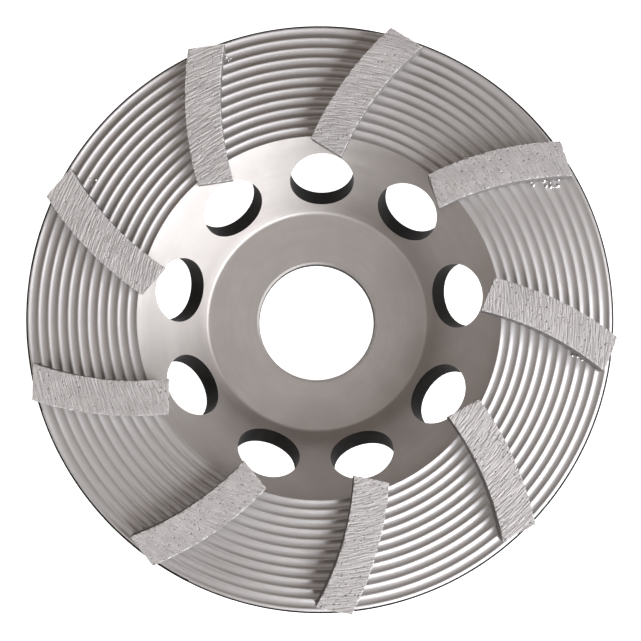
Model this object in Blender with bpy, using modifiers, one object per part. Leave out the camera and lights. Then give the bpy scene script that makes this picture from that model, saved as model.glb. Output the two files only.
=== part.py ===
"""A diamond cup wheel: a turned steel cup body with nine curved abrasive segments on its grooved rim.

The wheel lies on the back of its hub (z = 0) with its axis on Z and the segments on top.
All sizes are in metres and all angles in degrees.
"""

import math

import bmesh
import bpy

# Body, measured from the axis
RIM_RADIUS = 0.0525
BAND_RADIUS = 0.0323  # where the cone meets the flat grooved band
BORE_RADIUS = 0.011115
BORE_CHAMFER = 0.0004
HUB_RADIUS = 0.0209  # where the hub face meets the cone
HUB_FILLET = 0.0010
HUB_THICKNESS = 0.0040
CUP_DEPTH = 0.0135  # from the hub face up to the crests of the band
CONE_WALL = 0.0035
FLANGE_THICKNESS = 0.0044  # from the crests down to the back of the rim
EDGE_CHAMFER = 0.0006  # back edges of hub and flange

# Round-bottomed grooves with sharp crests between them, which fill the band out to the rim
GROOVE_COUNT = 11
GROOVE_DEPTH = 0.0004
GROOVE_STEPS = 4  # straight pieces across one groove
RIM_LAND = 0.00095  # half groove left between the last crest and the rim
RIM_BREAK = 0.00015

# Holes through the cone, drilled square to it
HOLE_RADIUS = 0.0059
HOLE_UP_CONE = 0.456  # place of their centres between the cone's foot and its top
HOLE_COUNT = 9
FIRST_HOLE_ANGLE = 90
HOLE_OFF_PITCH = (-0.2, -1.3, -1.1, -1.2, 0.8, -0.3, -0.2, 1.5, 1.9)  # seen in the photograph

# Segments: curved bars of one width beside a line from the axis, both ends cut square to it
SEGMENT_COUNT = 9
SEGMENT_WIDTH = 0.0062
SEGMENT_HEIGHT = 0.0030
SEGMENT_LINE_ANGLE = 99.9  # direction of the first segment's line
SEGMENT_OVERHANG = 0.0057  # inner end cut, past the band's inner edge
SEGMENT_INSET = 0.00295  # outer end cut, short of the rim
SEGMENT_OFFSET = 0.0119  # concave side off the line where it is farthest
WIDEST_PAST_START = 0.00685  # that place, from the inner end cut
CONCAVE_RADIUS = 0.05095
SEGMENT_ARC_STEPS = 14

JOINT_GAP = 0.0003  # between a segment and the crests under it
TURN_STEPS = 72
SEAM_MERGE = 0.000001  # joins the two ends of the turn
HOLE_STEPS = 32

# Derived heights and radii
HUB_FACE_Z = HUB_THICKNESS
CREST_Z = HUB_FACE_Z + CUP_DEPTH
GROOVE_Z = CREST_Z - GROOVE_DEPTH
FLANGE_BACK_Z = CREST_Z - FLANGE_THICKNESS
LAST_CREST_RADIUS = RIM_RADIUS - RIM_LAND
GROOVE_PITCH = (LAST_CREST_RADIUS - BAND_RADIUS) / GROOVE_COUNT
CONE_ANGLE = math.atan2(CUP_DEPTH, BAND_RADIUS - HUB_RADIUS)
HOLE_CENTRE_RADIUS = HUB_RADIUS + HOLE_UP_CONE * (BAND_RADIUS - HUB_RADIUS)
HOLE_CENTRE_Z = HUB_FACE_Z + HOLE_UP_CONE * CUP_DEPTH
SEGMENT_START = BAND_RADIUS - SEGMENT_OVERHANG
SEGMENT_LENGTH = RIM_RADIUS - SEGMENT_INSET - SEGMENT_START


def clear_scene():
    for obj in list(bpy.data.objects):
        bpy.data.objects.remove(obj, do_unlink=True)


def new_collection(name, cutters=False):
    collection = bpy.data.collections.new(name)
    bpy.context.scene.collection.children.link(collection)
    collection.hide_render = cutters
    return collection


def new_material(name, colour, roughness, metallic):
    material = bpy.data.materials.new(name)
    material.use_nodes = True
    shader = material.node_tree.nodes["Principled BSDF"]
    shader.inputs["Base Color"].default_value = (*colour, 1.0)
    shader.inputs["Roughness"].default_value = roughness
    shader.inputs["Metallic"].default_value = metallic
    material.diffuse_color = (*colour, 1.0)
    return material


def back_cone_radius(height):
    """Radius of the cone's back at this height, parallel to its front."""
    across = CONE_WALL / math.sin(CONE_ANGLE)
    return HUB_RADIUS + across + (height - HUB_FACE_Z) / math.tan(CONE_ANGLE)


def groove_height(fraction):
    """Height of the surface at a fraction of the pitch, from one crest to the next."""
    half = GROOVE_PITCH / 2
    tool_radius = (half**2 + GROOVE_DEPTH**2) / (2 * GROOVE_DEPTH)
    off_bottom = (fraction - 0.5) * GROOVE_PITCH
    return GROOVE_Z + tool_radius - math.sqrt(tool_radius**2 - off_bottom**2)


def band_profile():
    """Points across the grooves, from the cone out to the rim."""
    points = []
    for groove in range(GROOVE_COUNT):
        for step in range(GROOVE_STEPS):
            fraction = step / GROOVE_STEPS
            points.append((BAND_RADIUS + (groove + fraction) * GROOVE_PITCH, groove_height(fraction)))
    for step in range(GROOVE_STEPS // 2):
        fraction = step / GROOVE_STEPS
        points.append((LAST_CREST_RADIUS + fraction * GROOVE_PITCH, groove_height(fraction)))
    points.append((RIM_RADIUS - RIM_BREAK, GROOVE_Z))
    return points


def hub_fillet():
    """Three points that round the hollow corner between hub face and cone."""
    reach = HUB_FILLET * math.tan(CONE_ANGLE / 2)
    centre = (HUB_RADIUS - reach, HUB_FACE_Z + HUB_FILLET)
    turns = (0, CONE_ANGLE / 2, CONE_ANGLE)
    return [
        (centre[0] + HUB_FILLET * math.sin(turn), centre[1] - HUB_FILLET * math.cos(turn))
        for turn in turns
    ]


def body_profile():
    """The whole section: down the rim, in along the back, up the bore, out over the top."""
    back = [
        (RIM_RADIUS, GROOVE_Z - RIM_BREAK),
        (RIM_RADIUS, FLANGE_BACK_Z + EDGE_CHAMFER),
        (RIM_RADIUS - EDGE_CHAMFER, FLANGE_BACK_Z),
        (back_cone_radius(FLANGE_BACK_Z), FLANGE_BACK_Z),
        (back_cone_radius(EDGE_CHAMFER), EDGE_CHAMFER),
        (back_cone_radius(0) - EDGE_CHAMFER, 0),
    ]
    bore = [
        (BORE_RADIUS + BORE_CHAMFER, 0),
        (BORE_RADIUS, BORE_CHAMFER),
        (BORE_RADIUS, HUB_FACE_Z - BORE_CHAMFER),
        (BORE_RADIUS + BORE_CHAMFER, HUB_FACE_Z),
    ]
    return back + bore + hub_fillet() + band_profile()


def turned(name, profile, material, collection):
    """A closed section turned once about Z."""
    mesh = bpy.data.meshes.new(name)
    count = len(profile)
    edges = [(i, (i + 1) % count) for i in range(count)]
    mesh.from_pydata([(x, 0, z) for x, z in profile], edges, [])
    mesh.materials.append(material)
    obj = bpy.data.objects.new(name, mesh)
    collection.objects.link(obj)
    screw = obj.modifiers.new("turn", "SCREW")
    screw.axis = "Z"
    screw.angle = math.tau
    screw.steps = screw.render_steps = TURN_STEPS
    screw.use_merge_vertices = True
    screw.merge_threshold = SEAM_MERGE
    screw.use_smooth_shade = True
    return obj


def hole_cutter(index, collection):
    """A cylinder square to the cone, longer than the wall on both sides."""
    mesh = bpy.data.meshes.new(f"hole_cutter_{index + 1}")
    form = bmesh.new()
    bmesh.ops.create_cone(
        form,
        cap_ends=True,
        segments=HOLE_STEPS,
        radius1=HOLE_RADIUS,
        radius2=HOLE_RADIUS,
        depth=2 * (CONE_WALL + HOLE_RADIUS),
    )
    form.to_mesh(mesh)
    form.free()
    cutter = bpy.data.objects.new(mesh.name, mesh)
    off_pitch = HOLE_OFF_PITCH[index % len(HOLE_OFF_PITCH)]
    turn = math.radians(FIRST_HOLE_ANGLE + index * 360 / HOLE_COUNT + off_pitch)
    cutter.location = (
        HOLE_CENTRE_RADIUS * math.cos(turn),
        HOLE_CENTRE_RADIUS * math.sin(turn),
        HOLE_CENTRE_Z,
    )
    cutter.rotation_euler = (0, -CONE_ANGLE, turn)
    cutter.hide_render = True
    cutter.display_type = "WIRE"
    collection.objects.link(cutter)
    return cutter


def drill(body, cutter):
    cut = body.modifiers.new(cutter.name, "BOOLEAN")
    cut.operation = "DIFFERENCE"
    cut.solver = "EXACT"
    cut.object = cutter


def segment_outline():
    """The bar seen from above, its line along X: out on the concave side, back on the convex one."""

    arc_along = SEGMENT_START + WIDEST_PAST_START
    arc_across = SEGMENT_OFFSET - CONCAVE_RADIUS

    def side(radius, along):
        return (along, arc_across + math.sqrt(radius**2 - (along - arc_along) ** 2))

    alongs = [
        SEGMENT_START + SEGMENT_LENGTH * step / SEGMENT_ARC_STEPS
        for step in range(SEGMENT_ARC_STEPS + 1)
    ]
    concave = [side(CONCAVE_RADIUS, along) for along in alongs]
    convex = [side(CONCAVE_RADIUS + SEGMENT_WIDTH, along) for along in reversed(alongs)]
    return concave + convex


def segment_curve(material):
    curve = bpy.data.curves.new("segment", "CURVE")
    curve.dimensions = "2D"
    curve.fill_mode = "BOTH"
    curve.extrude = SEGMENT_HEIGHT / 2
    outline = segment_outline()
    spline = curve.splines.new("POLY")
    spline.points.add(len(outline) - 1)
    for point, (x, y) in zip(spline.points, outline):
        point.co = (x, y, 0, 1)
    spline.use_cyclic_u = True
    curve.materials.append(material)
    return curve


def main():
    clear_scene()
    wheel = new_collection("diamond_cup_wheel")
    cutters = new_collection("cutters", cutters=True)
    steel = new_material("turned_steel", (0.56, 0.54, 0.52), 0.34, 1.0)
    sintered = new_material("sintered_abrasive", (0.47, 0.46, 0.44), 0.55, 0.9)

    body = turned("cup_body", body_profile(), steel, wheel)
    for index in range(HOLE_COUNT):
        drill(body, hole_cutter(index, cutters))

    bar = segment_curve(sintered)
    for index in range(SEGMENT_COUNT):
        segment = bpy.data.objects.new(f"segment_{index + 1}", bar)
        segment.location.z = CREST_Z + JOINT_GAP + SEGMENT_HEIGHT / 2
        segment.rotation_euler.z = math.radians(SEGMENT_LINE_ANGLE + index * 360 / SEGMENT_COUNT)
        wheel.objects.link(segment)


main()
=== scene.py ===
"""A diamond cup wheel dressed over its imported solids: turned body, ground segments, studio.

Every length is in metres. The wheel lies on the back of its hub with its axis on Z.
"""

import math
from functools import partial

import bmesh
import bpy
from bpy.props import FloatProperty, FloatVectorProperty, IntProperty, PointerProperty
from mathutils import Euler, Matrix, Vector


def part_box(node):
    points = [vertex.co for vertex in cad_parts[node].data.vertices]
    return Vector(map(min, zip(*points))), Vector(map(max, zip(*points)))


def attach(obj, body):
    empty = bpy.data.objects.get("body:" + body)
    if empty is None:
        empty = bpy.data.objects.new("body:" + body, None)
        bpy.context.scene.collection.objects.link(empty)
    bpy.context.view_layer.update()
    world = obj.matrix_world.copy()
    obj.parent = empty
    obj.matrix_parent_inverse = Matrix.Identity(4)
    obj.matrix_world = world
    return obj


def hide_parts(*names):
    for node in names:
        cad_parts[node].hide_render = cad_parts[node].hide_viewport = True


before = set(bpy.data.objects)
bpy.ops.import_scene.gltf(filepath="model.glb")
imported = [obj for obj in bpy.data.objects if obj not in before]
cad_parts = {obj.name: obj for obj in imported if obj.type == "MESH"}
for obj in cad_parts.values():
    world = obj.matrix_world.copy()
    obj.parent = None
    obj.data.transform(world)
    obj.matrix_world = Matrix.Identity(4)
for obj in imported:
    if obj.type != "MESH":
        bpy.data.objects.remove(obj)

bl_info = {
    "name": "Diamond Cup Wheel",
    "version": (1, 0, 0),
    "blender": (4, 5, 0),
    "location": "3D View > Sidebar > Cup Wheel",
    "description": "Builds a turned cup wheel with curved diamond segments and a plain studio",
    "category": "Add Mesh",
}

BODY = "root"
_, BODY_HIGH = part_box("cup_body")
_, SEGMENT_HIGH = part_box("segment_1")
SEGMENT_NODES = sorted(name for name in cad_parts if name.startswith("segment_"))

# Angles of the nine holes off an even pitch, and of the first one, in degrees
HOLE_OFF_PITCH = (-0.2, -1.3, -1.1, -1.2, 0.8, -0.3, -0.2, 1.5, 1.9)
FIRST_HOLE_ANGLE = 90.0

# Fine steps of the visible shapes
TURN_STEPS = 288
HOLE_STEPS = 96
ARC_STEPS = 5
CONE_STEPS = 12
WALL_ROWS = 14  # down the walls of a segment
FACE_CELL = 0.00009  # on the working face of a segment
PATCH_CELLS = (24, 8)  # along and across a patch of drops
DROP_SUBDIVISIONS = 3
SEAM_MERGE = 0.000001  # joins the ends of the turn, and is the play in tests of a place

# Points across a groove as parts of the pitch, closer at the crests, and the least part that
# is left between the last point and the rounding of the rim
GROOVE_PARTS = (0.0, 0.035, 0.07, 0.12, 0.2, 0.3, 0.4, 0.5, 0.6, 0.7, 0.8, 0.88, 0.93, 0.965)
LAST_PART_GAP = 0.02

# Angles between faces over which an edge stays sharp
BODY_SHARP = math.radians(28)
SEGMENT_SHARP = math.radians(40)
DROP_SHARP = math.radians(60)

# Widths of the zone along the edges of a segment, where it is chipped and painted lighter as a
# highlight, and of the painted shade at the rim
EDGE_ZONE = 0.00035
RIM_SHADE_WIDTH = 0.00042

# Noise of the wear on the segments: cells on a metre, detail, step of the seed
PIT_NOISE = (2400.0, 1.0, 5.0)
CHIP_NOISE = (1500.0, 3.0, 17.0)
WALL_NOISE = (1900.0, 3.0, 11.0)
SCORE_DETAIL = 1.5

# Values of the noise between which the wear sets in
SCORE_RANGE = (0.40, 0.70)
PIT_RANGE = (0.645, 0.72)
CHIP_RANGE = (0.47, 0.62)
PIT_DEPTH = 2.0  # in score depths

# Drops of braze beside four segments: middle of the patch on the band, turn of the patch, its size
SPATTER_PATCHES = (
    (0.0393, 0.0251, 0.0, 0.0054, 0.0017),
    (-0.0173, 0.0455, 80.0, 0.0016, 0.0010),
    (-0.0410, 0.0232, 40.0, 0.0020, 0.0012),
    (0.0467, -0.0059, -28.0, 0.0036, 0.0009),
)
DROP_SIZES = (0.3, 1.0)  # smallest and largest, as parts of the drop radius

# Turning marks: radius at which their length is true, detail of their noise, and for the slow
# tone how much wider it is than a ring, the step of its seed and where it sets in
MARK_RADIUS = 0.042
MARK_DETAIL = 3.0
TONE_WIDTH = 9.0
TONE_SEED = 3.0
TONE_RANGE = (0.3, 0.7)

# Metal grain: scale against the grain, detail and step of the seed of its slow and dark parts
GRAIN_DETAIL = 3.0
BLOTCH_NOISE = (0.05, 4.0, 2.0)
SPECK_NOISE = (0.6, 1.0, 7.0)
BLOTCH_RANGE = (0.35, 0.65)
SPECK_START = 0.92  # value of the noise where specks set in at a share of nothing
SPECK_DROP = 0.3  # how far a full share lowers it
SPECK_SOFTNESS = 0.06

# Abrasive: values of the scores' height between which dark streaks and bright crests set in
STREAK_RANGE = (0.58, 0.72)
CREST_RANGE = (0.46, 0.34)

# Places of the colours among the sockets of a Mix node, which has a set for each kind of value
MIX_FIRST, MIX_SECOND, MIX_RESULT = 6, 7, 2

# Studio: azimuth and elevation of the small soft boxes in degrees, their sides, and the floor
LIT_POINT = Vector((0.0, 0.0, 0.012))
FILL_DIRECTION, FILL_SIDE = (205.0, 40.0), 0.25
OVERHEAD_DIRECTION, OVERHEAD_SIDE = (147.0, 80.0), 0.16
FLOOR_REACH = 8.0
FLOOR_HEIGHT = -0.0001
FLOOR_ROUGHNESS = 0.9
FLOOR_GLOW = 0.92

# The photograph was taken from above the wheel, a little off its axis and turned: the camera's
# place before its roll, and its turns in degrees
CAMERA_PLACE = (-0.005143, -0.009712, 0.185567)
CAMERA_ROLL, CAMERA_TILT_X, CAMERA_TILT_Y = 1.4, 0.404, -0.197
CAMERA_SHIFT = (0.0422, 0.0713)
CAMERA_NEAREST = 0.01
FILM_WIDTH = 36.0  # in millimetres


def length_prop(name, description, default):
    return FloatProperty(
        name=name, description=description, default=default, min=0.0, unit="LENGTH", precision=5
    )


def number_prop(name, description, default):
    return FloatProperty(name=name, description=description, default=default, min=0.0)


def angle_prop(name, description, degrees):
    return FloatProperty(
        name=name, description=description, default=math.radians(degrees), subtype="ANGLE"
    )


def count_prop(name, description, default, least=0):
    return IntProperty(name=name, description=description, default=default, min=least)


def colour_prop(name, description, default):
    return FloatVectorProperty(
        name=name,
        description=description,
        default=default,
        size=3,
        min=0.0,
        max=1.0,
        subtype="COLOR",
    )


class CupBodySizes(bpy.types.PropertyGroup):
    rim_radius: length_prop("Rim radius", "Outer radius of the wheel", BODY_HIGH.x)
    band_radius: length_prop("Band radius", "Where the cone meets the grooved band", 0.0323)
    hub_radius: length_prop("Hub radius", "Where the hub face meets the cone", 0.0209)
    bore_radius: length_prop("Bore radius", "Radius of the arbor bore", 0.011115)
    hub_thickness: length_prop("Hub thickness", "From the back to the hub face", 0.0040)
    crest_height: length_prop("Crest height", "From the back to the band's crests", BODY_HIGH.z)
    cone_wall: length_prop("Cone wall", "Wall of the cone, square to it", 0.0035)
    flange_thickness: length_prop("Flange thickness", "From crests to rim's back", 0.0044)
    rim_land: length_prop("Rim land", "Half groove left outside the last crest", 0.00095)
    groove_depth: length_prop("Groove depth", "From a crest to a groove's bottom", 0.0004)
    crest_round: length_prop("Crest rounding", "Its reach on each side of a crest", 0.0002)
    groove_count: count_prop("Grooves", "Whole grooves on the band", 11, 1)
    edge_round: length_prop("Edge rounding", "Radius on the edges of the back", 0.0006)
    rim_round: length_prop("Rim rounding", "Radius between the band and the rim's wall", 0.00035)
    rim_runout: length_prop("Rim run-out", "How far the rim is off the grooves' axis", 0.00024)
    runout_angle: angle_prop("Run-out angle", "Where the rim stands out farthest", -40.0)
    hub_fillet: length_prop("Hub fillet", "Radius between hub face and cone", 0.0010)
    bore_chamfer: length_prop("Bore chamfer", "Chamfer on both ends of the bore", 0.0004)
    hole_radius: length_prop("Hole radius", "Radius of the holes through the cone", 0.0059)
    hole_up_cone: number_prop("Hole place", "Centres of the holes, as a part of the cone", 0.456)


class SegmentSizes(bpy.types.PropertyGroup):
    width: length_prop("Width", "Across the bar", 0.0062)
    top_height: length_prop("Top height", "From the back to the working faces", SEGMENT_HIGH.z)
    seat_depth: length_prop("Seat depth", "How far a bar reaches below the crests", 0.00045)
    line_angle: angle_prop("Line angle", "Direction of the first bar's line", 99.9)
    overhang: length_prop("Overhang", "Inner end past the band's inner edge", 0.0057)
    end_reach: length_prop("End reach", "How much farther in it reaches at the seat", 0.00035)
    end_lean: length_prop("End lean", "How much farther again it reaches at the top", 0.00050)
    inset: length_prop("Inset", "Outer end short of the rim", 0.00295)
    offset: length_prop("Offset", "Concave side off the line where it is farthest", 0.0119)
    widest: length_prop("Widest", "That place, from the inner end", 0.00685)
    concave_radius: length_prop("Concave radius", "Radius of the concave side", 0.05095)
    score_depth: length_prop("Score depth", "Depth of the scores left by grinding", 0.00009)
    score_width: length_prop("Score width", "Width of a score, across the wheel's turn", 0.00024)
    score_length: length_prop("Score length", "Its length along the wheel's turn", 0.0030)
    chip_depth: length_prop("Chip depth", "Depth of the chips along the edges", 0.00014)
    wall_roughness: length_prop("Wall roughness", "Unevenness of the side walls", 0.00010)
    seed: count_prop("Seed", "Seed of the wear on the bars", 7)


class SpatterSizes(bpy.types.PropertyGroup):
    drop_radius: length_prop("Drop radius", "Radius of the largest drop", 0.00042)
    crowding: number_prop("Crowding", "Drops on a square metre", 1.3e6)
    seed: count_prop("Seed", "Seed of the drops' places and sizes", 3)


class FinishColours(bpy.types.PropertyGroup):
    steel: colour_prop("Satin steel", "Colour of hub and cone", (0.635, 0.598, 0.578))
    cut_steel: colour_prop("Cut steel", "Colour of the grooved band", (0.67, 0.645, 0.64))
    abrasive: colour_prop("Abrasive", "Colour of the sintered segments", (0.605, 0.578, 0.57))
    braze: colour_prop("Spatter", "Colour of the drops of braze", (0.80, 0.79, 0.80))
    floor: colour_prop("Floor", "Colour of the floor", (0.80, 0.80, 0.80))


class StudioSettings(bpy.types.PropertyGroup):
    focal_length: FloatProperty(
        name="Focal length", description="Camera lens", default=53.3, min=1.0, unit="CAMERA"
    )
    key_strength: number_prop("Key light", "Power of the key light", 16.0)
    key_azimuth: angle_prop("Key direction", "Where the key light stands", -36.0)
    key_elevation: angle_prop("Key height", "Height of the key light over the floor", 31.0)
    key_distance: length_prop("Key distance", "From the wheel to the key light", 0.90)
    key_width: length_prop("Key width", "Width of the soft box", 1.60)
    key_height: length_prop("Key size up", "Height of the soft box", 0.64)
    key_colour: colour_prop("Key colour", "Colour of the key light", (0.94, 0.965, 1.0))
    fill_distance: length_prop("Fill distance", "From the wheel to the small soft boxes", 0.45)
    fill_strength: number_prop("Fill light", "Power of the fill light", 0.18)
    top_strength: number_prop("Top light", "Power of the overhead light", 0.15)
    ambient: number_prop("Room light", "Strength of the room's light", 0.14)
    room: colour_prop("Room colour", "Colour of the room's light", (1.0, 0.80, 0.66))


# Objects and meshes


def keep(obj, node_names):
    """Rides a finished piece on the wheel, in place of the named solids."""
    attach(obj, BODY)
    if node_names:
        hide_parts(*node_names)


def new_object(name, mesh, material):
    mesh.materials.append(material)
    obj = bpy.data.objects.new(name, mesh)
    bpy.context.scene.collection.objects.link(obj)
    return obj


def mesh_from(form, name):
    """The finished form as a mesh."""
    mesh = bpy.data.meshes.new(name)
    form.to_mesh(mesh)
    form.free()
    return mesh


def settle(obj):
    """Turns what the modifiers make into a plain mesh, and removes the modifiers."""
    bpy.context.view_layer.update()
    graph = bpy.context.evaluated_depsgraph_get()
    mesh = bpy.data.meshes.new_from_object(obj.evaluated_get(graph), depsgraph=graph)
    mesh.name = obj.name
    obj.modifiers.clear()
    obj.data = mesh


def smooth_by_angle(mesh, angle):
    """Smooth faces, with sharp edges where two faces meet at more than the angle."""
    form = bmesh.new()
    form.from_mesh(mesh)
    for face in form.faces:
        face.smooth = True
    for edge in form.edges:
        edge.smooth = len(edge.link_faces) == 2 and edge.calc_face_angle(0.0) < angle
    form.to_mesh(mesh)
    form.free()


# Nodes


def feed(tree, value, socket):
    """Sets a socket to a number or a colour, or links another node's output to it."""
    if isinstance(value, tuple):
        socket.default_value = (*value, 1.0)
    elif isinstance(value, (int, float)):
        socket.default_value = value
    else:
        tree.links.new(value, socket)


def maths(tree, operation, *values):
    """A Math node; each value is a number or another node's output."""
    node = tree.nodes.new("ShaderNodeMath")
    node.operation = operation
    for value, socket in zip(values, node.inputs):
        feed(tree, value, socket)
    return node.outputs[0]


def coordinates(tree, vector):
    """The vector's x, y and z."""
    parts = tree.nodes.new("ShaderNodeSeparateXYZ")
    feed(tree, vector, parts.inputs[0])
    return parts.outputs


def combined(tree, **parts):
    """A vector with these outputs as its X, Y or Z, and nothing in the others."""
    node = tree.nodes.new("ShaderNodeCombineXYZ")
    for axis, value in parts.items():
        feed(tree, value, node.inputs[axis])
    return node.outputs[0]


def square_radius(tree, x, y):
    """The square of the distance from the wheel's axis."""
    return maths(tree, "MULTIPLY_ADD", x, x, maths(tree, "MULTIPLY", y, y))


def noise(tree, vector, scale, detail, seed):
    """Noise in four dimensions, with its seed as the fourth."""
    node = tree.nodes.new("ShaderNodeTexNoise")
    node.noise_dimensions = "4D"
    for value, label in ((vector, "Vector"), (scale, "Scale"), (detail, "Detail"), (seed, "W")):
        feed(tree, value, node.inputs[label])
    return node.outputs[0]


def ramp(tree, value, low, high):
    """Rises softly from 0 where the value is low to 1 where it is high."""
    node = tree.nodes.new("ShaderNodeMapRange")
    node.interpolation_type = "SMOOTHSTEP"
    for number, label in ((value, "Value"), (low, "From Min"), (high, "From Max")):
        feed(tree, number, node.inputs[label])
    return node.outputs[0]


def ring_vector(tree, vector, width, length):
    """Coordinates for noise stretched along the wheel's turn, in marks of this width and length."""
    calc = partial(maths, tree)
    x, y, _ = coordinates(tree, vector)
    radius = calc("SQRT", square_radius(tree, x, y))
    stretch = calc("DIVIDE", MARK_RADIUS, length)
    return combined(
        tree,
        X=calc("DIVIDE", radius, width),
        Y=calc("MULTIPLY", calc("DIVIDE", x, radius), stretch),
        Z=calc("MULTIPLY", calc("DIVIDE", y, radius), stretch),
    )


def geometry_tree(name, inputs):
    """A Geometry Nodes tree with a geometry socket each way and an input for each named number."""
    tree = bpy.data.node_groups.new(name, "GeometryNodeTree")
    add = tree.interface.new_socket
    add("Geometry", in_out="INPUT", socket_type="NodeSocketGeometry")
    for label, value in inputs.items():
        kind = "NodeSocketInt" if isinstance(value, int) else "NodeSocketFloat"
        add(label, in_out="INPUT", socket_type=kind)
    add("Geometry", in_out="OUTPUT", socket_type="NodeSocketGeometry")
    return tree, tree.nodes.new("NodeGroupInput").outputs


def moved(tree, geometry, offset, chosen=None):
    """Moves all points, or only the chosen ones, by the offset."""
    node = tree.nodes.new("GeometryNodeSetPosition")
    feed(tree, geometry, node.inputs["Geometry"])
    feed(tree, offset, node.inputs["Offset"])
    if chosen is not None:
        feed(tree, chosen, node.inputs["Selection"])
    return node.outputs[0]


def end_tree(tree, geometry, material):
    """Realize Instances and Set Material close every tree."""
    real = tree.nodes.new("GeometryNodeRealizeInstances")
    paint = tree.nodes.new("GeometryNodeSetMaterial")
    paint.inputs["Material"].default_value = material
    feed(tree, geometry, real.inputs[0])
    feed(tree, real.outputs[0], paint.inputs["Geometry"])
    feed(tree, paint.outputs[0], tree.nodes.new("NodeGroupOutput").inputs[0])


def add_geometry_nodes(obj, tree, inputs):
    """Adds the tree to the object and sets its inputs by their socket identifiers."""
    modifier = obj.modifiers.new(tree.name, "NODES")
    modifier.node_group = tree
    for item in tree.interface.items_tree:
        if item.in_out == "INPUT" and item.name in inputs:
            modifier[item.identifier] = inputs[item.name]


# Turned body


def rounded_corner(before, corner, after, radius):
    """Points of an arc of this radius in place of the corner."""
    here = Vector(corner)
    way_in = (here - Vector(before)).normalized()
    way_out = (Vector(after) - here).normalized()
    turn = way_in.angle_signed(way_out)
    reach = radius * math.tan(abs(turn) / 2)
    start = here - way_in * reach
    side = Vector((-way_in.y, way_in.x)) * (-radius if turn > 0 else radius)
    centre = start + side
    points = []
    for step in range(ARC_STEPS + 1):
        swing = Matrix.Rotation(-turn * step / ARC_STEPS, 2)
        points.append(tuple(centre + swing @ (start - centre)))
    return points


def cone(sizes):
    """Height, run and angle of the cone's front."""
    height = sizes.crest_height - sizes.hub_thickness
    run = sizes.band_radius - sizes.hub_radius
    return height, run, math.atan2(height, run)


def groove_pitch(sizes):
    return (sizes.rim_radius - sizes.rim_land - sizes.band_radius) / sizes.groove_count


def groove_drop(sizes, part):
    """How far the groove lies below its crests at this part of the way between them."""
    half = groove_pitch(sizes) / 2
    tool = (half**2 + sizes.groove_depth**2) / (2 * sizes.groove_depth)
    across = (part % 1.0 - 0.5) * 2 * half
    return math.sqrt(tool**2 - across**2) - math.sqrt(tool**2 - half**2)


def body_section(sizes):
    """The wheel's section: down the rim, in along the back, up the bore, out over a flat band."""
    crest, rim, hub_face = sizes.crest_height, sizes.rim_radius, sizes.hub_thickness
    bore, chamfer, edge = sizes.bore_radius, sizes.bore_chamfer, sizes.edge_round
    _, _, cone_angle = cone(sizes)
    back_offset = sizes.cone_wall / math.sin(cone_angle)
    flange_back = crest - sizes.flange_thickness

    def back_radius(height):
        return sizes.hub_radius + back_offset + (height - hub_face) / math.tan(cone_angle)

    last_crest = rim - sizes.rim_land
    pitch = groove_pitch(sizes)
    outer_part = (rim - sizes.rim_round - last_crest) / pitch
    rim_top = crest - groove_drop(sizes, outer_part)
    band_start = (sizes.band_radius, crest)
    chain = [
        ((last_crest, rim_top), 0.0),
        ((rim, rim_top), sizes.rim_round),
        ((rim, flange_back), edge),
        ((back_radius(flange_back), flange_back), edge),
        ((back_radius(0.0), 0.0), edge),
        ((bore + chamfer, 0.0), 0.0),
        ((bore, chamfer), 0.0),
        ((bore, hub_face - chamfer), 0.0),
        ((bore + chamfer, hub_face), 0.0),
        ((sizes.hub_radius, hub_face), sizes.hub_fillet),
        (band_start, 0.0),
    ]
    points = []
    for (before, _), (corner, radius), (after, _) in zip(chain, chain[1:], chain[2:]):
        points += rounded_corner(before, corner, after, radius) if radius else [corner]
    foot, top = Vector(points[-1]), Vector(band_start)
    points += [tuple(foot.lerp(top, step / CONE_STEPS)) for step in range(1, CONE_STEPS)]
    for groove in range(sizes.groove_count):
        points += [(sizes.band_radius + (groove + part) * pitch, crest) for part in GROOVE_PARTS]
    last_parts = [part for part in GROOVE_PARTS if part < outer_part - LAST_PART_GAP]
    return points + [(last_crest + part * pitch, crest) for part in last_parts]


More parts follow.
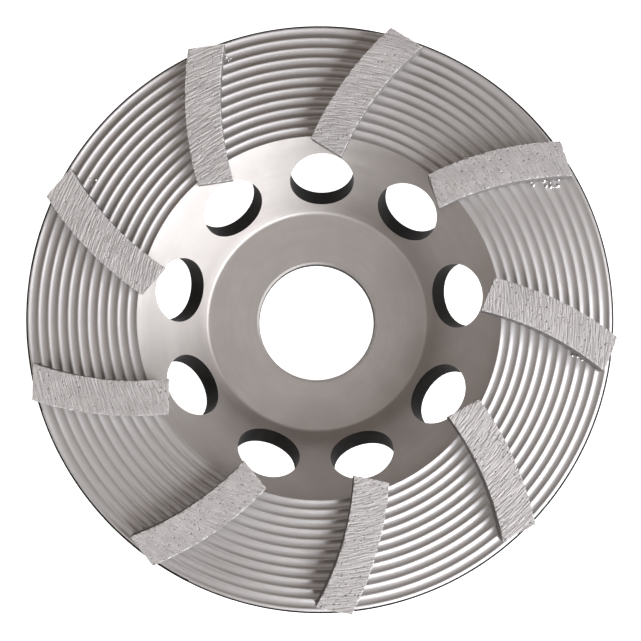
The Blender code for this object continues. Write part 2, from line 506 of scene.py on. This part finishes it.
def turned_grooves_tree(material, inputs):
    """Sinks round-bottomed grooves into the flat band, and sets the rim off their axis."""
    tree, given = geometry_tree("turned_grooves", inputs)
    calc = partial(maths, tree)
    x, y, z = coordinates(tree, tree.nodes.new("GeometryNodeInputPosition").outputs[0])
    radius = calc("SQRT", square_radius(tree, x, y))
    pitch, depth, reach = given["Pitch"], given["Depth"], given["Crest Rounding"]
    turns = calc("DIVIDE", calc("SUBTRACT", radius, given["Band Radius"]), pitch)
    off_crest = calc("MULTIPLY", calc("PINGPONG", turns, 0.5), pitch)
    half = calc("MULTIPLY", pitch, 0.5)
    off_bottom = calc("SUBTRACT", half, off_crest)
    square_half = calc("MULTIPLY", half, half)
    twice_depth = calc("MULTIPLY", depth, 2.0)
    tool = calc("DIVIDE", calc("MULTIPLY_ADD", depth, depth, square_half), twice_depth)
    square_tool = calc("MULTIPLY", tool, tool)

    def height_in_tool(square):
        return calc("SQRT", calc("SUBTRACT", square_tool, square))

    crest = height_in_tool(square_half)
    sink = calc("SUBTRACT", crest, height_in_tool(calc("MULTIPLY", off_bottom, off_bottom)))
    # near a crest the slope of the wall fades evenly to nothing
    near = calc("MAXIMUM", calc("SUBTRACT", reach, off_crest), 0.0)
    worn = calc("DIVIDE", calc("MULTIPLY", near, near), calc("MULTIPLY", reach, 2.0))
    slope = calc("DIVIDE", half, crest)
    sink = calc("SUBTRACT", sink, calc("MULTIPLY", worn, slope))
    on_band = calc("GREATER_THAN", z, calc("SUBTRACT", given["Crest Height"], SEAM_MERGE))
    grooved = moved(tree, given["Geometry"], combined(tree, Z=sink), on_band)

    # past the last crest the radius shrinks towards it, most of all opposite the run-out angle
    past = calc("SUBTRACT", radius, given["Last Crest"])
    land = calc("SUBTRACT", given["Rim Radius"], given["Last Crest"])
    turn = calc("SUBTRACT", calc("ARCTAN2", y, x), given["Run-out Angle"])
    short = calc("SUBTRACT", 1.0, calc("COSINE", turn))
    shrink = calc("DIVIDE", calc("MULTIPLY", given["Run-out"], short), land)
    inward = calc("DIVIDE", calc("MULTIPLY", calc("MULTIPLY", past, shrink), -1.0), radius)
    shift = combined(tree, X=calc("MULTIPLY", x, inward), Y=calc("MULTIPLY", y, inward))
    end_tree(tree, moved(tree, grooved, shift, calc("GREATER_THAN", past, 0.0)), material)
    return tree


def hole_cutter(sizes, index, material):
    """A cylinder square to the cone, longer than its wall on both sides."""
    height, run, cone_angle = cone(sizes)
    form = bmesh.new()
    bmesh.ops.create_cone(
        form,
        cap_ends=True,
        segments=HOLE_STEPS,
        radius1=sizes.hole_radius,
        radius2=sizes.hole_radius,
        depth=2 * (sizes.cone_wall + sizes.hole_radius),
    )
    even_pitch = 360 / len(HOLE_OFF_PITCH)
    turn = math.radians(FIRST_HOLE_ANGLE + index * even_pitch + HOLE_OFF_PITCH[index])
    centre = sizes.hub_radius + sizes.hole_up_cone * run
    middle_height = sizes.hub_thickness + sizes.hole_up_cone * height
    place = (centre * math.cos(turn), centre * math.sin(turn), middle_height)
    lean = Euler((0.0, -cone_angle, turn)).to_matrix().to_4x4()
    bmesh.ops.transform(form, matrix=Matrix.Translation(place) @ lean, verts=form.verts)
    name = f"hole_cutter_{index + 1}"
    cutter = new_object(name, mesh_from(form, name), material)
    cutter.hide_render = True
    return cutter


def darken_rim(mesh, sizes, material):
    """Gives the band's outermost edge and the wall of the bore the near-black colour of the holes'
    walls: painted shade, and at the rim a painted dark reflection.
    """
    slot = mesh.materials.find(material.name)
    outer_part = (sizes.rim_land - sizes.rim_round) / groove_pitch(sizes)
    lowest = sizes.crest_height - groove_drop(sizes, outer_part) - sizes.rim_round
    for face in mesh.polygons:
        x, y, z = face.center
        radius, turn = math.hypot(x, y), math.atan2(y, x)
        inward = sizes.rim_runout * (1.0 - math.cos(turn - sizes.runout_angle))
        # faces at the rim's edge take the near-black colour as a painted dark reflection, the
        # bore's wall as painted shade
        on_rim = z > lowest and radius > sizes.rim_radius - inward - RIM_SHADE_WIDTH
        in_bore = radius < sizes.bore_radius + SEAM_MERGE
        if on_rim or in_bore:
            face.material_index = slot


class WHEEL_OT_cup_body(bpy.types.Operator):
    """Turn the section, sink the grooves into its band and drill the holes through its cone"""

    bl_idname = "cup_wheel.cup_body"
    bl_label = "Cup Body"

    def execute(self, context):
        sizes, colours = context.scene.cup_body_sizes, context.scene.finish_colours
        points = body_section(sizes)
        edges = [(i, (i + 1) % len(points)) for i in range(len(points))]
        mesh = bpy.data.meshes.new("turned_cup_body")
        mesh.from_pydata([(x, 0.0, z) for x, z in points], edges, [])
        steel = turned_steel(colours, sizes)
        body = new_object("turned_cup_body", mesh, steel)
        screw = body.modifiers.new("turn", "SCREW")
        screw.axis = "Z"
        screw.steps = screw.render_steps = TURN_STEPS
        screw.use_merge_vertices = True
        screw.merge_threshold = SEAM_MERGE
        inputs = {
            "Band Radius": sizes.band_radius,
            "Pitch": groove_pitch(sizes),
            "Depth": sizes.groove_depth,
            "Crest Rounding": sizes.crest_round,
            "Crest Height": sizes.crest_height,
            "Last Crest": sizes.rim_radius - sizes.rim_land,
            "Rim Radius": sizes.rim_radius,
            "Run-out": sizes.rim_runout,
            "Run-out Angle": sizes.runout_angle,
        }
        add_geometry_nodes(body, turned_grooves_tree(steel, inputs), inputs)
        # the walls' material is a near-black painted shade: the cutters carry it onto the holes'
        # walls, and it is also set on the bore and the rim's edge
        walls = painted_shade_wall(colours)
        cutters = [hole_cutter(sizes, index, walls) for index in range(len(HOLE_OFF_PITCH))]
        for cutter in cutters:
            drill = body.modifiers.new(cutter.name, "BOOLEAN")
            drill.operation = "DIFFERENCE"
            drill.solver = "EXACT"
            drill.material_mode = "TRANSFER"
            drill.object = cutter
        settle(body)
        for cutter in cutters:
            bpy.data.objects.remove(cutter, do_unlink=True)
        darken_rim(body.data, sizes, walls)
        smooth_by_angle(body.data, BODY_SHARP)
        keep(body, ["cup_body"])
        return {"FINISHED"}


# Segments


def bar_point(sizes, band_radius, radius, along):
    """A point of the bar seen from above, its line along X."""
    middle = band_radius - sizes.overhang + sizes.widest
    across = math.sqrt(radius**2 - (along - middle) ** 2)
    return along, sizes.offset - sizes.concave_radius + across


def bar_mesh(name, sizes, body_sizes, turn):
    """A closed bar with a fine grid on its working face and rows of faces down its walls."""
    outer_end = body_sizes.rim_radius - sizes.inset
    start = body_sizes.band_radius - sizes.overhang - sizes.end_reach - sizes.end_lean
    length = outer_end - start
    rows, columns = round(length / FACE_CELL), round(sizes.width / FACE_CELL)
    base = body_sizes.crest_height - sizes.seat_depth
    form = bmesh.new()
    # edge_near sets where the face is chipped, and where its colour is lighter as a painted
    # highlight
    edge_near = form.verts.layers.float.new("edge_near")
    # marks the walls, which the abrasive's colour darkens as painted shade
    wall = form.verts.layers.float.new("wall")
    grid, foot = [], {}
    for row in range(rows + 1):
        along = start + length * row / rows
        shrink = sizes.end_lean * (1.0 - row / rows)
        line = []
        for column in range(columns + 1):
            radius = sizes.concave_radius + sizes.width * column / columns
            x, y = bar_point(sizes, body_sizes.band_radius, radius, along)
            vert = form.verts.new((x, y, sizes.top_height))
            foot[vert] = bar_point(sizes, body_sizes.band_radius, radius, along + shrink)
            cells = min(row, rows - row, column, columns - column)
            vert[edge_near] = max(0.0, 1.0 - cells * FACE_CELL / EDGE_ZONE)
            line.append(vert)
        grid.append(line)
    for here, ahead in zip(grid, grid[1:]):
        for column in range(columns):
            form.faces.new((here[column], ahead[column], ahead[column + 1], here[column + 1]))
    loop = [line[0] for line in grid]
    loop += grid[-1][1:]
    loop += [line[-1] for line in reversed(grid[:-1])]
    loop += list(reversed(grid[0][1:-1]))
    above = loop
    for row in range(1, WALL_ROWS + 1):
        part = row / WALL_ROWS
        height = sizes.top_height + (base - sizes.top_height) * part
        below = []
        for vert in loop:
            x, y = vert.co.xy.lerp(Vector(foot[vert]), part)
            below.append(form.verts.new((x, y, height)))
            below[-1][wall] = 1.0
        for i in range(len(loop)):
            j = (i + 1) % len(loop)
            form.faces.new((above[i], below[i], below[j], above[j]))
        above = below
    form.faces.new(above)
    bmesh.ops.recalc_face_normals(form, faces=form.faces)
    bmesh.ops.transform(form, matrix=Matrix.Rotation(turn, 4, "Z"), verts=form.verts)
    return mesh_from(form, name)


def ground_face_tree(material, inputs):
    """Scores, pits and chips on the working face, and uneven walls, by moving a bar's points."""
    tree, given = geometry_tree("ground_face", inputs)
    calc = partial(maths, tree)
    place = tree.nodes.new("GeometryNodeInputPosition").outputs[0]
    _, _, height = coordinates(tree, place)

    def unevenness(scale, detail, seed_step):
        return noise(tree, place, scale, detail, calc("ADD", given["Seed"], seed_step))

    rings = ring_vector(tree, place, given["Score Width"], given["Score Length"])
    scores = ramp(tree, noise(tree, rings, 1.0, SCORE_DETAIL, given["Seed"]), *SCORE_RANGE)
    pits = ramp(tree, unevenness(*PIT_NOISE), *PIT_RANGE)
    worn = calc("MULTIPLY_ADD", pits, PIT_DEPTH, scores)
    near = tree.nodes.new("GeometryNodeInputNamedAttribute")
    near.data_type = "FLOAT"
    near.inputs["Name"].default_value = "edge_near"
    edge = next(socket for socket in near.outputs if socket.enabled and socket.name == "Attribute")
    chipped = ramp(tree, unevenness(*CHIP_NOISE), *CHIP_RANGE)
    chips = calc("MULTIPLY", chipped, calc("MULTIPLY", edge, edge))
    chip_drop = calc("MULTIPLY", chips, given["Chip Depth"])
    down = calc("MULTIPLY_ADD", worn, given["Score Depth"], chip_drop)
    drop = combined(tree, Z=calc("MULTIPLY", down, -1.0))
    on_top = calc("GREATER_THAN", height, calc("SUBTRACT", given["Top Height"], SEAM_MERGE))
    ground = moved(tree, given["Geometry"], drop, on_top)

    # the walls go in along their own normal, so a bar never grows
    flat = tree.nodes.new("ShaderNodeVectorMath")
    flat.operation = "MULTIPLY"
    flat.inputs[1].default_value = (1.0, 1.0, 0.0)
    feed(tree, tree.nodes.new("GeometryNodeInputNormal").outputs[0], flat.inputs[0])
    rough = calc("MULTIPLY", unevenness(*WALL_NOISE), given["Wall Roughness"])
    push = tree.nodes.new("ShaderNodeVectorMath")
    push.operation = "SCALE"
    feed(tree, flat.outputs[0], push.inputs[0])
    feed(tree, calc("MULTIPLY", rough, -1.0), push.inputs["Scale"])
    end_tree(tree, moved(tree, ground, push.outputs[0]), material)
    return tree


class WHEEL_OT_segments(bpy.types.Operator):
    """Lay the nine bars across the band and give each one its own scores, pits and walls"""

    bl_idname = "cup_wheel.segments"
    bl_label = "Segments"

    def execute(self, context):
        sizes, body_sizes = context.scene.segment_sizes, context.scene.cup_body_sizes
        material = sintered_abrasive(context.scene.finish_colours)
        inputs = {
            "Top Height": sizes.top_height,
            "Score Depth": sizes.score_depth,
            "Score Width": sizes.score_width,
            "Score Length": sizes.score_length,
            "Chip Depth": sizes.chip_depth,
            "Wall Roughness": sizes.wall_roughness,
            "Seed": 0.0,
        }
        tree = ground_face_tree(material, inputs)
        for index, node_name in enumerate(SEGMENT_NODES):
            turn = sizes.line_angle + index * math.tau / len(SEGMENT_NODES)
            name = f"diamond_segment_{index + 1}"
            bar = new_object(name, bar_mesh(name, sizes, body_sizes, turn), material)
            add_geometry_nodes(bar, tree, inputs | {"Seed": float(sizes.seed + index)})
            settle(bar)
            smooth_by_angle(bar.data, SEGMENT_SHARP)
            keep(bar, [node_name])
        return {"FINISHED"}


# Spatter


def patch_mesh(name, body_sizes, patch):
    """A small grid that follows the grooves, for the drops to lie on."""
    x, y, turn, length, width = patch
    columns, rows = PATCH_CELLS
    form = bmesh.new()
    bmesh.ops.create_grid(form, x_segments=columns, y_segments=rows, size=0.5)  # one metre square
    bmesh.ops.scale(form, vec=(length, width, 1.0), verts=form.verts)
    place = Matrix.Translation((x, y, 0.0)) @ Matrix.Rotation(math.radians(turn), 4, "Z")
    bmesh.ops.transform(form, matrix=place, verts=form.verts)
    for vert in form.verts:
        turns = (vert.co.xy.length - body_sizes.band_radius) / groove_pitch(body_sizes)
        vert.co.z = body_sizes.crest_height - groove_drop(body_sizes, turns)
    return mesh_from(form, name)


def spatter_tree(material, inputs):
    """Scatters drops of many sizes over a patch."""
    tree, given = geometry_tree("spatter", inputs)
    points = tree.nodes.new("GeometryNodeDistributePointsOnFaces")
    feed(tree, given["Geometry"], points.inputs["Mesh"])
    feed(tree, given["Crowding"], points.inputs["Density"])
    feed(tree, given["Seed"], points.inputs["Seed"])
    ball = tree.nodes.new("GeometryNodeMeshIcoSphere")
    ball.inputs["Subdivisions"].default_value = DROP_SUBDIVISIONS
    feed(tree, given["Drop Radius"], ball.inputs["Radius"])
    size = tree.nodes.new("FunctionNodeRandomValue")
    size.data_type = "FLOAT"
    limits = [socket for socket in size.inputs if socket.enabled and socket.name in ("Min", "Max")]
    for part, socket in zip(DROP_SIZES, limits):
        feed(tree, part, socket)
    feed(tree, given["Seed"], size.inputs["Seed"])
    drops = tree.nodes.new("GeometryNodeInstanceOnPoints")
    feed(tree, points.outputs["Points"], drops.inputs["Points"])
    feed(tree, ball.outputs["Mesh"], drops.inputs["Instance"])
    feed(tree, next(socket for socket in size.outputs if socket.enabled), drops.inputs["Scale"])
    end_tree(tree, drops.outputs[0], material)
    return tree


class WHEEL_OT_spatter(bpy.types.Operator):
    """Leave drops of braze on the grooves beside four of the segments"""

    bl_idname = "cup_wheel.spatter"
    bl_label = "Spatter"

    def execute(self, context):
        sizes, body_sizes = context.scene.spatter_sizes, context.scene.cup_body_sizes
        material = braze_drop(context.scene.finish_colours)
        inputs = {"Drop Radius": sizes.drop_radius, "Crowding": sizes.crowding, "Seed": 0}
        tree = spatter_tree(material, inputs)
        for index, patch in enumerate(SPATTER_PATCHES):
            name = f"braze_spatter_{index + 1}"
            drops = new_object(name, patch_mesh(name, body_sizes, patch), material)
            add_geometry_nodes(drops, tree, inputs | {"Seed": sizes.seed + index})
            settle(drops)
            smooth_by_angle(drops.data, DROP_SHARP)
            keep(drops, [])
        return {"FINISHED"}


# Finishes


def shader_group(name, inputs, outputs):
    """A shader node group with named number inputs and outputs."""
    tree = bpy.data.node_groups.new(name, "ShaderNodeTree")
    add = tree.interface.new_socket
    for label, value in inputs.items():
        add(label, in_out="INPUT", socket_type="NodeSocketFloat").default_value = value
    for label in outputs:
        add(label, in_out="OUTPUT", socket_type="NodeSocketFloat")
    given, out = tree.nodes.new("NodeGroupInput"), tree.nodes.new("NodeGroupOutput")
    return tree, given.outputs, out.inputs


def object_place(tree):
    return tree.nodes.new("ShaderNodeTexCoord").outputs["Object"]


def turning_marks():
    """Fine rings left by the lathe: a height, and a tone that changes slowly across them."""
    tree = bpy.data.node_groups.get("turning_marks")
    if tree:
        return tree
    tree, given, out = shader_group(
        "turning_marks",
        {"Ring Width": 0.0001, "Ring Length": 0.02, "Seed": 0.0},
        ("Height", "Tone"),
    )
    place, seed = object_place(tree), given["Seed"]
    width, length = given["Ring Width"], given["Ring Length"]
    fine = ring_vector(tree, place, width, length)
    feed(tree, noise(tree, fine, 1.0, MARK_DETAIL, seed), out["Height"])
    wide = ring_vector(tree, place, maths(tree, "MULTIPLY", width, TONE_WIDTH), length)
    tone = noise(tree, wide, 1.0, MARK_DETAIL, maths(tree, "ADD", seed, TONE_SEED))
    feed(tree, ramp(tree, tone, *TONE_RANGE), out["Tone"])
    return tree


def metal_grain():
    """Even grain: a height, a mask of slow blotches and a mask of small dark specks."""
    tree = bpy.data.node_groups.get("metal_grain")
    if tree:
        return tree
    tree, given, out = shader_group(
        "metal_grain",
        {"Grain Size": 0.0002, "Speck Share": 0.3, "Seed": 0.0},
        ("Height", "Blotch", "Specks"),
    )
    calc = partial(maths, tree)
    place, seed = object_place(tree), given["Seed"]
    scale = calc("DIVIDE", 1.0, given["Grain Size"])

    def coarser(part, detail, seed_step):
        coarse = calc("MULTIPLY", scale, part)
        return noise(tree, place, coarse, detail, calc("ADD", seed, seed_step))

    feed(tree, noise(tree, place, scale, GRAIN_DETAIL, seed), out["Height"])
    feed(tree, ramp(tree, coarser(*BLOTCH_NOISE), *BLOTCH_RANGE), out["Blotch"])
    start = calc("SUBTRACT", SPECK_START, calc("MULTIPLY", given["Speck Share"], SPECK_DROP))
    full = calc("ADD", start, SPECK_SOFTNESS)
    feed(tree, ramp(tree, coarser(*SPECK_NOISE), start, full), out["Specks"])
    return tree


def group_node(tree, group, **values):
    """Places a group with these input values, and gives its outputs."""
    node = tree.nodes.new("ShaderNodeGroup")
    node.node_tree = group
    for label, value in values.items():
        node.inputs[label.replace("_", " ")].default_value = value
    return node.outputs


def mixed(tree, factor, first, second, blend="MIX"):
    """A colour mix; the colours are plain tuples or outputs."""
    node = tree.nodes.new("ShaderNodeMix")
    node.data_type = "RGBA"
    node.blend_type = blend
    feed(tree, factor, node.inputs["Factor"])
    feed(tree, first, node.inputs[MIX_FIRST])
    feed(tree, second, node.inputs[MIX_SECOND])
    return node.outputs[MIX_RESULT]


def covered(tree, colour, *layers):
    """The colour under its layers: each is a mask, how strongly it covers, and its colour."""
    for mask, strength, over in layers:
        colour = mixed(tree, maths(tree, "MULTIPLY", mask, strength), colour, over)
    return colour


def set_roughness(tree, shader, plain, *layers):
    """Each layer is a mask and how much rougher the surface is there."""
    for mask, rougher in layers:
        plain = maths(tree, "MULTIPLY_ADD", mask, rougher, plain)
    feed(tree, plain, shader.inputs["Roughness"])


def set_bump(tree, shader, *layers):
    """Each layer is a height and the distance that it stands for."""
    normal = None
    for height, distance in layers:
        node = tree.nodes.new("ShaderNodeBump")
        node.inputs["Distance"].default_value = distance
        feed(tree, height, node.inputs["Height"])
        if normal is not None:
            feed(tree, normal, node.inputs["Normal"])
        normal = node.outputs[0]
    feed(tree, normal, shader.inputs["Normal"])


def new_finish(name, colour, roughness, metallic):
    material = bpy.data.materials.new(name)
    material.use_nodes = True
    material.diffuse_color = (*colour, 1.0)
    shader = material.node_tree.nodes["Principled BSDF"]
    shader.inputs["Base Color"].default_value = (*colour, 1.0)
    shader.inputs["Roughness"].default_value = roughness
    shader.inputs["Metallic"].default_value = metallic
    return material, material.node_tree, shader


def shade(colour, factor):
    return tuple(min(1.0, part * factor) for part in colour)


def grey(value):
    return (value, value, value)


def outside_radius(tree, radius):
    """1 where the surface lies farther from the axis than this radius."""
    x, y, _ = coordinates(tree, object_place(tree))
    return maths(tree, "GREATER_THAN", square_radius(tree, x, y), radius**2)


def turned_steel(colours, sizes):
    """Turned steel: satin hub and cone, a brighter cut band, rings from the lathe, dark specks."""
    steel = tuple(colours.steel)
    material, tree, shader = new_finish("turned_steel", steel, roughness=0.5, metallic=1.0)
    band = outside_radius(tree, sizes.band_radius - SEAM_MERGE)
    rings = group_node(tree, turning_marks(), Ring_Width=0.00009, Ring_Length=0.03, Seed=1.0)
    grain = group_node(tree, metal_grain(), Grain_Size=0.00022, Speck_Share=0.35, Seed=4.0)
    tone = covered(
        tree,
        mixed(tree, rings["Tone"], grey(0.93), grey(1.0)),
        (grain["Blotch"], 0.4, grey(0.88)),
        (grain["Specks"], 0.6, (0.3, 0.28, 0.26)),
    )
    plain = mixed(tree, band, steel, tuple(colours.cut_steel))
    feed(tree, mixed(tree, 1.0, plain, tone, "MULTIPLY"), shader.inputs["Base Color"])
    set_roughness(
        tree, shader, 0.47, (band, 0.03), (rings["Tone"], 0.06), (grain["Blotch"], 0.05)
    )
    set_bump(tree, shader, (rings["Height"], 0.000012), (grain["Height"], 0.000012))
    return material


def painted_shade_wall(colours):
    """Near-black colour for the walls of the holes and the bore and for the rim's edge: painted
    shade, a little uneven.
    """
    # nearly black: painted shade on walls that get little light, and a painted dark reflection on
    # the rim's edge
    dark = shade(tuple(colours.steel), 0.03)
    material, tree, shader = new_finish("painted_shade_wall", dark, roughness=0.6, metallic=0.0)
    shader.inputs["Specular IOR Level"].default_value = 0.05
    grain = group_node(tree, metal_grain(), Grain_Size=0.0004, Speck_Share=0.4, Seed=21.0)
    colour = mixed(tree, grain["Blotch"], shade(dark, 0.7), shade(dark, 1.5))
    feed(tree, colour, shader.inputs["Base Color"])
    set_roughness(tree, shader, 0.5, (grain["Blotch"], 0.12))
    set_bump(tree, shader, (grain["Height"], 0.00003))
    return material


def braze_drop(colours):
    """Shiny solidified drops, a little uneven."""
    silver = tuple(colours.braze)
    material, tree, shader = new_finish("braze_drop", silver, roughness=0.2, metallic=1.0)
    grain = group_node(tree, metal_grain(), Grain_Size=0.0002, Speck_Share=0.6, Seed=31.0)
    colour = mixed(tree, grain["Specks"], silver, shade(silver, 0.4))
    feed(tree, colour, shader.inputs["Base Color"])
    set_roughness(tree, shader, 0.15, (grain["Blotch"], 0.15))
    set_bump(tree, shader, (grain["Height"], 0.00003))
    return material


def own_attribute(tree, name):
    node = tree.nodes.new("ShaderNodeAttribute")
    node.attribute_name = name
    return node.outputs["Fac"]


def sintered_abrasive(colours):
    """Sintered metal and grit, ground flat: scores along the wheel's turn, pits, mottling, painted
    shade on the walls and a painted highlight along the edges.
    """
    base = tuple(colours.abrasive)
    material, tree, shader = new_finish("sintered_abrasive", base, roughness=0.6, metallic=0.25)
    scores = group_node(tree, turning_marks(), Ring_Width=0.00019, Ring_Length=0.0028, Seed=9.0)
    grain = group_node(tree, metal_grain(), Grain_Size=0.00014, Speck_Share=0.88, Seed=12.0)
    colour = covered(
        tree,
        mixed(tree, grain["Blotch"], shade(base, 0.93), shade(base, 1.05)),
        (ramp(tree, scores["Height"], *STREAK_RANGE), 0.55, shade(base, 0.5)),
        (ramp(tree, scores["Height"], *CREST_RANGE), 0.5, shade(base, 1.45)),
        # painted highlight: lighter along the edges of the working face
        (own_attribute(tree, "edge_near"), 0.35, shade(base, 1.35)),
        (grain["Specks"], 0.8, shade(base, 0.35)),
        # painted shade: the walls are darkened to a quarter of the base colour
        (own_attribute(tree, "wall"), 0.85, shade(base, 0.25)),
    )
    feed(tree, colour, shader.inputs["Base Color"])
    set_roughness(tree, shader, 0.5, (grain["Blotch"], 0.1))
    set_bump(tree, shader, (scores["Height"], 0.00017), (grain["Height"], 0.00002))
    return material


# Stage


def white_floor(colour):
    """A pale floor that the camera sees as white, and that keeps the wheel's shadow."""
    material = bpy.data.materials.new("white_floor")
    material.use_nodes = True
    tree = material.node_tree
    shader = tree.nodes["Principled BSDF"]
    shader.inputs["Base Color"].default_value = (*colour, 1.0)
    shader.inputs["Roughness"].default_value = FLOOR_ROUGHNESS
    glow = tree.nodes.new("ShaderNodeEmission")
    rays = tree.nodes.new("ShaderNodeLightPath").outputs
    seen = maths(tree, "MAXIMUM", rays["Is Camera Ray"], rays["Is Glossy Ray"])
    seen = maths(tree, "MAXIMUM", seen, rays["Is Transmission Ray"])
    feed(tree, maths(tree, "MULTIPLY", seen, FLOOR_GLOW), glow.inputs["Strength"])
    both = tree.nodes.new("ShaderNodeAddShader")
    feed(tree, shader.outputs[0], both.inputs[0])
    feed(tree, glow.outputs[0], both.inputs[1])
    feed(tree, both.outputs[0], tree.nodes["Material Output"].inputs["Surface"])
    return material


def soft_box(name, azimuth, elevation, distance, width, height, power, colour=(1.0, 1.0, 1.0)):
    """A lamp that stands in this direction and shines on the wheel."""
    flat = math.cos(elevation)
    way = Vector((flat * math.cos(azimuth), flat * math.sin(azimuth), math.sin(elevation)))
    data = bpy.data.lights.new(name, "AREA")
    data.shape = "RECTANGLE"
    data.size, data.size_y = width, height
    data.energy = power
    data.color = colour
    light = bpy.data.objects.new(name, data)
    light.location = place = LIT_POINT + distance * way
    light.rotation_euler = (LIT_POINT - place).to_track_quat("-Z", "Y").to_euler()
    bpy.context.scene.collection.objects.link(light)


def lay_floor(colour):
    form = bmesh.new()
    bmesh.ops.create_grid(form, x_segments=1, y_segments=1, size=FLOOR_REACH)
    floor = new_object("floor", mesh_from(form, "floor"), white_floor(colour))
    floor.location.z = FLOOR_HEIGHT


def light_room(scene, studio):
    world = bpy.data.worlds.new("room")
    world.use_nodes = True
    background = world.node_tree.nodes["Background"]
    background.inputs["Color"].default_value = (*studio.room, 1.0)
    background.inputs["Strength"].default_value = studio.ambient
    scene.world = world


def set_camera(scene, focal_length):
    lens = bpy.data.cameras.new("camera")
    lens.lens, lens.sensor_width = focal_length, FILM_WIDTH
    lens.shift_x, lens.shift_y = CAMERA_SHIFT
    lens.clip_start = CAMERA_NEAREST
    camera = bpy.data.objects.new("camera", lens)
    roll = Matrix.Rotation(math.radians(CAMERA_ROLL), 4, "Z")
    tilt_x = Matrix.Rotation(math.radians(CAMERA_TILT_X), 4, "X")
    tilt_y = Matrix.Rotation(math.radians(CAMERA_TILT_Y), 4, "Y")
    camera.matrix_world = roll @ Matrix.Translation(CAMERA_PLACE) @ (tilt_x @ tilt_y)
    scene.collection.objects.link(camera)
    scene.camera = camera


class WHEEL_OT_stage(bpy.types.Operator):
    """Lay the floor, hang the soft boxes, light the room and set the camera above the wheel"""

    bl_idname = "cup_wheel.stage"
    bl_label = "Stage"

    def execute(self, context):
        scene, studio = context.scene, context.scene.studio_settings
        lay_floor(tuple(scene.finish_colours.floor))
        soft_box(
            "key_soft_box",
            studio.key_azimuth,
            studio.key_elevation,
            studio.key_distance,
            studio.key_width,
            studio.key_height,
            studio.key_strength,
            tuple(studio.key_colour),
        )
        for name, direction, side, power in (
            ("fill_soft_box", FILL_DIRECTION, FILL_SIDE, studio.fill_strength),
            ("overhead_soft_box", OVERHEAD_DIRECTION, OVERHEAD_SIDE, studio.top_strength),
        ):
            azimuth, elevation = map(math.radians, direction)
            soft_box(name, azimuth, elevation, studio.fill_distance, side, side, power)
        light_room(scene, studio)
        set_camera(scene, studio.focal_length)
        scene.view_settings.view_transform = "Standard"
        return {"FINISHED"}


class WHEEL_PT_sidebar(bpy.types.Panel):
    bl_idname = "WHEEL_PT_sidebar"
    bl_label = "Cup Wheel"
    bl_space_type = "VIEW_3D"
    bl_region_type = "UI"
    bl_category = "Cup Wheel"

    def draw(self, context):
        for operator in OPERATORS:
            self.layout.operator(operator.bl_idname)


OPERATORS = (WHEEL_OT_cup_body, WHEEL_OT_segments, WHEEL_OT_spatter, WHEEL_OT_stage)
SETTINGS = {
    "cup_body_sizes": CupBodySizes,
    "segment_sizes": SegmentSizes,
    "spatter_sizes": SpatterSizes,
    "finish_colours": FinishColours,
    "studio_settings": StudioSettings,
}


def register():
    for group in SETTINGS.values():
        bpy.utils.register_class(group)
    for name, group in SETTINGS.items():
        setattr(bpy.types.Scene, name, PointerProperty(type=group))
    for operator in OPERATORS:
        bpy.utils.register_class(operator)
    bpy.utils.register_class(WHEEL_PT_sidebar)


def unregister():
    bpy.utils.unregister_class(WHEEL_PT_sidebar)
    for operator in reversed(OPERATORS):
        bpy.utils.unregister_class(operator)
    for name in SETTINGS:
        delattr(bpy.types.Scene, name)
    for group in reversed(list(SETTINGS.values())):
        bpy.utils.unregister_class(group)


def main():
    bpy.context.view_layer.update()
    register()
    bpy.ops.cup_wheel.cup_body()
    bpy.ops.cup_wheel.segments()
    bpy.ops.cup_wheel.spatter()
    bpy.ops.cup_wheel.stage()


if __name__ == "__main__":
    main()
